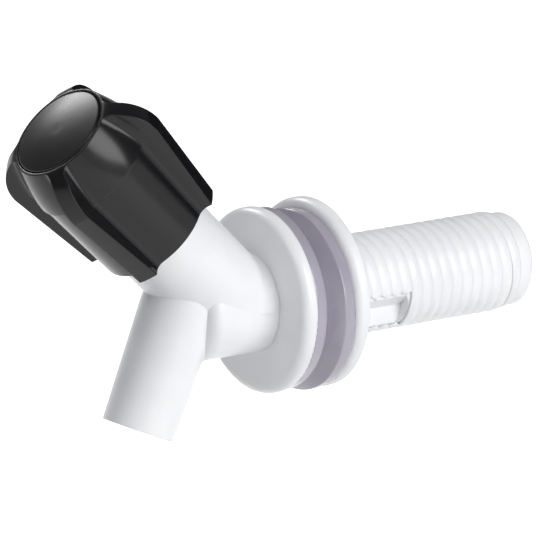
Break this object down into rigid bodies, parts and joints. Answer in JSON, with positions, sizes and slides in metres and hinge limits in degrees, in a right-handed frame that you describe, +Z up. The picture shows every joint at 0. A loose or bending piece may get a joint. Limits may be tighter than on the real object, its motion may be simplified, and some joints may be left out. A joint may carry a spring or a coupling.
{
  "type": "water filter tap",
  "caption": "Bulkhead water tap: a body with a short spout, an inclined hand knob with fluted sides, and a threaded tail that carries soft gaskets and a flanged lock nut.",
  "frame": {"origin": "centre of the flange's rear face, where the front gasket seats", "axes": "+X along the threaded tail, away from the user; +Z up; the knob leans up and forward, towards -X"},
  "size_m": [0.1145, 0.0376, 0.071],
  "materials": {
    "white_plastic": "glossy moulded white",
    "clear_soft_plastic": "clear soft plastic with a faint violet tint",
    "black_plastic": "semi-gloss moulded black",
    "steel": "plain stainless",
    "brass": "machined",
    "black_rubber": "matte",
    "natural_plastic": "plain off-white"
  },
  "bodies": {
    "tap_body": {"body": "white_plastic", "front_gasket": "clear_soft_plastic", "bonnet": "brass", "bonnet_seal": "black_rubber"},
    "valve": {"washer_holder": "natural_plastic", "valve_washer": "black_rubber", "washer_screw": "steel"},
    "handle": {"knob": "black_plastic", "knob_cap": "black_plastic", "knob_screw": "steel", "spindle": "brass", "thrust_washer": "natural_plastic", "lower_stem_seal": "black_rubber", "upper_stem_seal": "black_rubber"},
    "rear_gasket": {"back_gasket": "clear_soft_plastic"},
    "nut": {"lock_nut": "white_plastic"}
  },
  "joints": [
    {"name": "stem_rise", "type": "slide", "parent": "tap_body", "child": "valve", "axis": [-0.7071, 0, 0.7071], "range_m": [0, 0.0045]},
    {"name": "knob_turn", "type": "hinge", "parent": "valve", "child": "handle", "pos_m": [-0.008, 0, 0], "axis": [-0.7071, 0, 0.7071], "range_deg": [0, 540]},
    {"name": "gasket_slide", "type": "slide", "parent": "tap_body", "child": "rear_gasket", "axis": [1, 0, 0], "range_m": [0, 0.04]},
    {"name": "nut_spin", "type": "hinge", "parent": "rear_gasket", "child": "nut", "pos_m": [0, 0, 0], "axis": [1, 0, 0], "range_deg": [0, 5760]}
  ],
  "couplings": [
    {"joint": "knob_turn", "follows": "stem_rise", "rad_per_m": 2094.4},
    {"joint": "gasket_slide", "follows": "nut_spin", "m_per_rad": 0.00039788}
  ]
}
